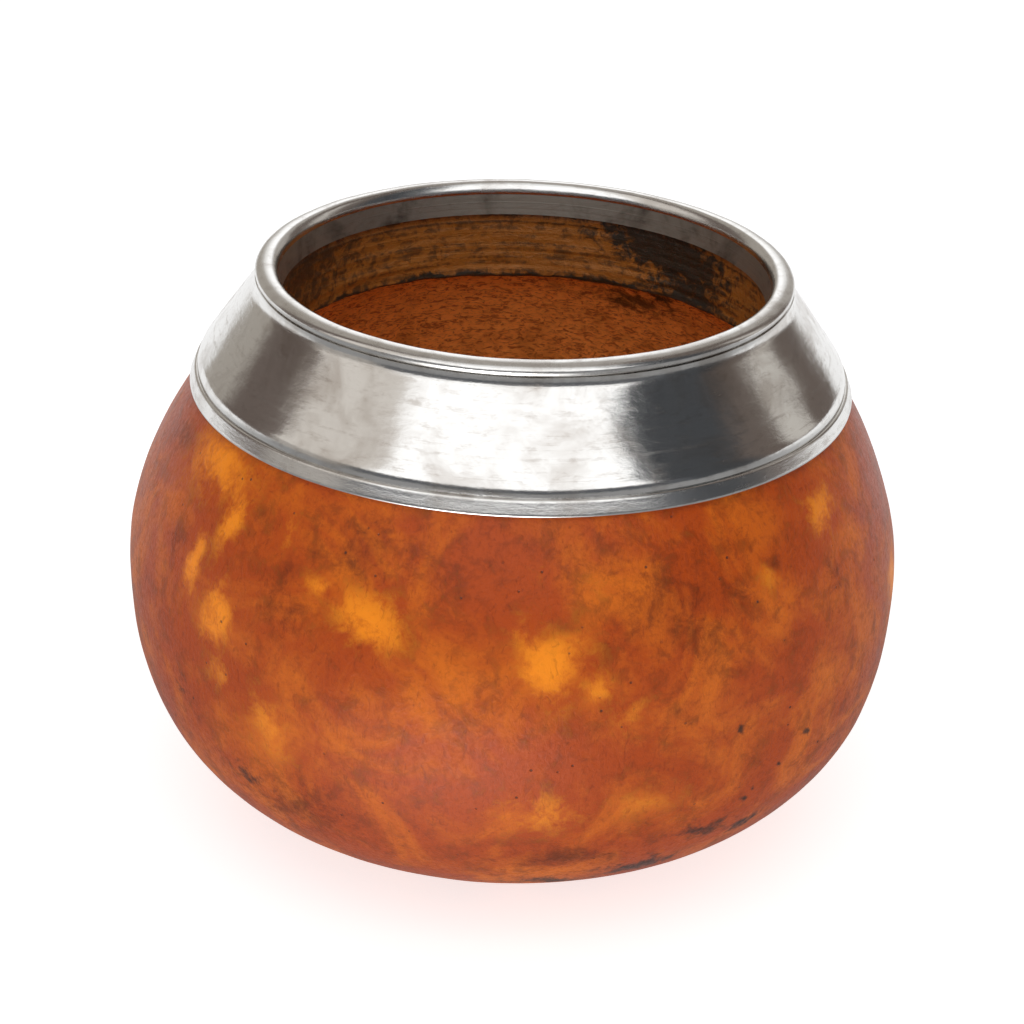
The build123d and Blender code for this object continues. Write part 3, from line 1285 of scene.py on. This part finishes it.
@dataclass
class Studio:
    """A white room: a floor, which reflections see with painted shade and a painted pool of light, a
    broad soft lamp, and panels that only reflections see.
    """

    focal: float = 104.6
    sensor: float = 36.0
    distance: float = 369.8
    aim_z: float = 40.0
    elevation: float = 24.98
    roll: float = 2.1
    shift: tuple[float, float] = (-0.0044, -0.0059)
    ambient: float = 0.4
    lamp_power: float = 4.5
    floor_side: float = 8.0
    floor_pale: float = 0.65
    floor_glow: float = 0.7
    # Painted shade: how bright reflections see the floor in front of the cup.
    painted_floor_shade: float = 0.3
    # Painted light: where a pool of light glows on the floor for reflections, how far it reaches and
    # how bright it is.
    painted_light_pool: tuple[float, float] = (-0.024, -0.11)
    painted_light_pool_reach: float = 0.075
    painted_light_pool_level: float = 7.0

    def panels(self) -> tuple[Panel, ...]:
        """Panels in the order they are hung, each over those before it.

        Returns:
            The panels, the first of which fills the room.
        """
        return (
            Panel(-200, 200, -90, 90, "a8a39d", 1.1, 1.0),
            Panel(-180, -118, -15, 62, "9c968e", 1.2, 8.0),
            Panel(-122, -92, -15, 75, "6a5f59", 1.0, 6.0),
            Panel(84, 142, -15, 70, "655b55", 1.1, 8.0),
            Panel(106, 120, 2, 42, "cbc6bf", 1.0, 7.0),
            Panel(46, 88, -15, 70, "46484b", 1.0, 5.0),
            Panel(168, 192, 8, 42, "ffffff", 1.3, 14.0),
            Panel(-60, 60, -15, 17, "5c5e62", 1.0, 5.0),
            Panel(-94, -50, 16, 62, "d2ccc5", 1.15, 3.0),
            Panel(-52, 47, 18, 62, "ffffff", 1.35, 3.0),
            Panel(-70, 70, 60, 92, "ffffff", 1.0, 8.0),
        )

    def background(self, g: Graph, colour: Feed, strength: float = 1.0) -> Socket:
        """Make a background shader.

        Args:
            g: The room's node tree.
            colour: Its colour.
            strength: Its strength.

        Returns:
            The shader.
        """
        node = g.tree.nodes.new("ShaderNodeBackground")
        g.feed(node.inputs[0], colour)
        node.inputs[1].default_value = strength
        return node.outputs[0]

    def world(self) -> None:
        """Make the room: white to the camera, panels to reflections, an even glow to the rest."""
        world = bpy.data.worlds.new("room")
        bpy.context.scene.world = world
        world.use_nodes = True
        world.node_tree.nodes.clear()
        g = Graph(world.node_tree)
        direction = g.tree.nodes.new("ShaderNodeTexCoord").outputs["Generated"]
        x, y, z = g.parts(direction)
        degrees = 180 / math.pi
        turn = g.sum(g.sum(x, g.sum(y, -1.0, "MULTIPLY"), "ARCTAN2"), degrees, "MULTIPLY")
        rise = g.sum(g.sum(z, 0.0, "ARCSINE"), degrees, "MULTIPLY")
        first, *others = self.panels()
        colour: Feed = first.value
        for panel in others:
            colour = g.tint(panel.share(g, turn, rise), colour, panel.value)
        glow = self.background(g, WHITE, self.ambient)
        lit = g.choose(g.ray("Is Glossy Ray"), glow, self.background(g, colour))
        shown = g.choose(g.ray("Is Camera Ray"), lit, self.background(g, WHITE))
        output = g.tree.nodes.new("ShaderNodeOutputWorld")
        g.feed(output.inputs[0], shown)

    def floor(self) -> bpy.types.Object:
        """Lay the pale floor, evenly bright to the camera, which reflections see with painted shade and
        a painted pool of light.

        Returns:
            The floor, which is part of the stage.
        """
        half = self.floor_side / 2
        mesh = bpy.data.meshes.new("floor")
        corners = [(-half, -half, 0), (half, -half, 0), (half, half, 0), (-half, half, 0)]
        mesh.from_pydata(corners, [], [(0, 1, 2, 3)])
        obj = bpy.data.objects.new("floor", mesh)
        bpy.context.scene.collection.objects.link(obj)
        s = Sheet("floor")
        s.shader.inputs["Base Color"].default_value = (*(self.floor_pale,) * 3, 1.0)
        s.shader.inputs["Roughness"].default_value = 0.9
        s.shader.inputs["Specular IOR Level"].default_value = 0.0
        s.shader.inputs["Emission Color"].default_value = WHITE
        s.shader.inputs["Emission Strength"].default_value = self.floor_glow
        self.paint_reflected_floor(s)
        mesh.materials.append(s.material)
        return obj

    def paint_reflected_floor(self, s: Sheet) -> None:
        """Paint the floor that reflections see: painted shade dims it in front of the cup, and a
        painted pool of light glows there, though no lamp lights it.

        Args:
            s: Node tree of the floor's material.
        """
        nodes = s.tree.nodes
        gap = nodes.new("ShaderNodeVectorMath")
        gap.operation = "DISTANCE"
        s.feed(gap.inputs[0], s.place)
        # Painted light: a pool of light glowing on the floor in front of the cup, seen only by
        # reflections, though no lamp lights it.
        gap.inputs[1].default_value = (*self.painted_light_pool, 0.0)
        painted_light_pool = s.step(gap.outputs["Value"], 0.0, self.painted_light_pool_reach, self.painted_light_pool_level, 0.0)
        _, y, _ = s.parts(s.place)
        # Painted shade: the floor that reflections see is dimmed in front of the cup and brightens
        # towards the back.
        painted_floor_shade_ramp = s.step(y, -0.05, 0.2, self.painted_floor_shade, 1.0)
        painted_floor_glow = nodes.new("ShaderNodeEmission")
        s.feed(painted_floor_glow.inputs["Strength"], s.sum(painted_light_pool, painted_floor_shade_ramp))
        shown = s.choose(s.ray("Is Glossy Ray"), s.shader.outputs[0], painted_floor_glow.outputs[0])
        s.feed(nodes["Material Output"].inputs["Surface"], shown)

    def lamp(
        self,
        name: str,
        turn: float,
        rise: float,
        reach: float,
        size: float,
        power: float,
    ) -> bpy.types.Object:
        """Hang a square soft lamp that points at the cup.

        Args:
            name: Name of the lamp.
            turn: Direction about the axis in degrees.
            rise: Elevation in degrees.
            reach: Distance in metres.
            size: Side in metres.
            power: Power in watts.

        Returns:
            The lamp.
        """
        data = bpy.data.lights.new(name, "AREA")
        data.shape = "SQUARE"
        data.size = size
        data.energy = power
        lamp = bpy.data.objects.new(name, data)
        bpy.context.scene.collection.objects.link(lamp)
        a = math.radians(turn)
        e = math.radians(rise)
        away = Vector((math.sin(a) * math.cos(e), -math.cos(a) * math.cos(e), math.sin(e)))
        lamp.location = away * reach + Vector((0, 0, self.aim_z * MM))
        lamp.rotation_euler = away.to_track_quat("Z", "Y").to_euler()
        lamp.visible_glossy = False
        return lamp

    def camera(self) -> bpy.types.Object:
        """Place the camera.

        Returns:
            The camera, made the scene's own.
        """
        data = bpy.data.cameras.new("camera")
        data.lens = self.focal
        data.sensor_width = self.sensor
        data.shift_x, data.shift_y = self.shift
        data.clip_start = 0.01
        cam = bpy.data.objects.new("camera", data)
        bpy.context.scene.collection.objects.link(cam)
        e = math.radians(self.elevation)
        tip = math.radians(self.roll)
        back = Vector((0, -math.cos(e), math.sin(e)))
        flat_right = Vector((1, 0, 0))
        flat_up = Vector((0, math.sin(e), math.cos(e)))
        right = flat_right * math.cos(tip) + flat_up * math.sin(tip)
        up = flat_up * math.cos(tip) - flat_right * math.sin(tip)
        pose = Matrix((right, up, back)).transposed().to_4x4()
        pose.translation = back * self.distance * MM + Vector((0, 0, self.aim_z * MM))
        cam.matrix_world = pose
        bpy.context.scene.camera = cam
        return cam

    def build(self) -> None:
        """Set up the room, the lamps and the camera."""
        self.world()
        self.floor()
        self.lamp("softbox", -5, 42, 1.1, 1.0, self.lamp_power)
        self.lamp("top light", 10, 85, 1.0, 1.2, self.lamp_power * 0.5)
        self.camera()
        bpy.context.scene.view_settings.view_transform = "Standard"


# --- assembly -----------------------------------------------------------------------


def claim(piece: bpy.types.Object, solid: Node) -> None:
    """Tell the frame what a piece rides on and stands for.

    Args:
        piece: The mesh object.
        solid: The solid that it stands for.
    """
    node = solid.value
    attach(piece, BODY)
    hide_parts(node)
    LOG.info("%s stands for %s: %d faces", piece.name, node, len(piece.data.polygons))


def main() -> None:
    """Build the gourd, the collar and the studio."""
    logging.basicConfig(level=logging.INFO, format="%(name)s: %(message)s")
    for piece in Gourd().build():
        claim(piece, Node.GOURD)
    rings = (Node.SKIRT, Node.HEM, Node.LIP, Node.SLEEVE)
    for piece, solid in zip(Collar().build(), rings):
        claim(piece, solid)
    Studio().build()


if __name__ == "__main__":
    main()
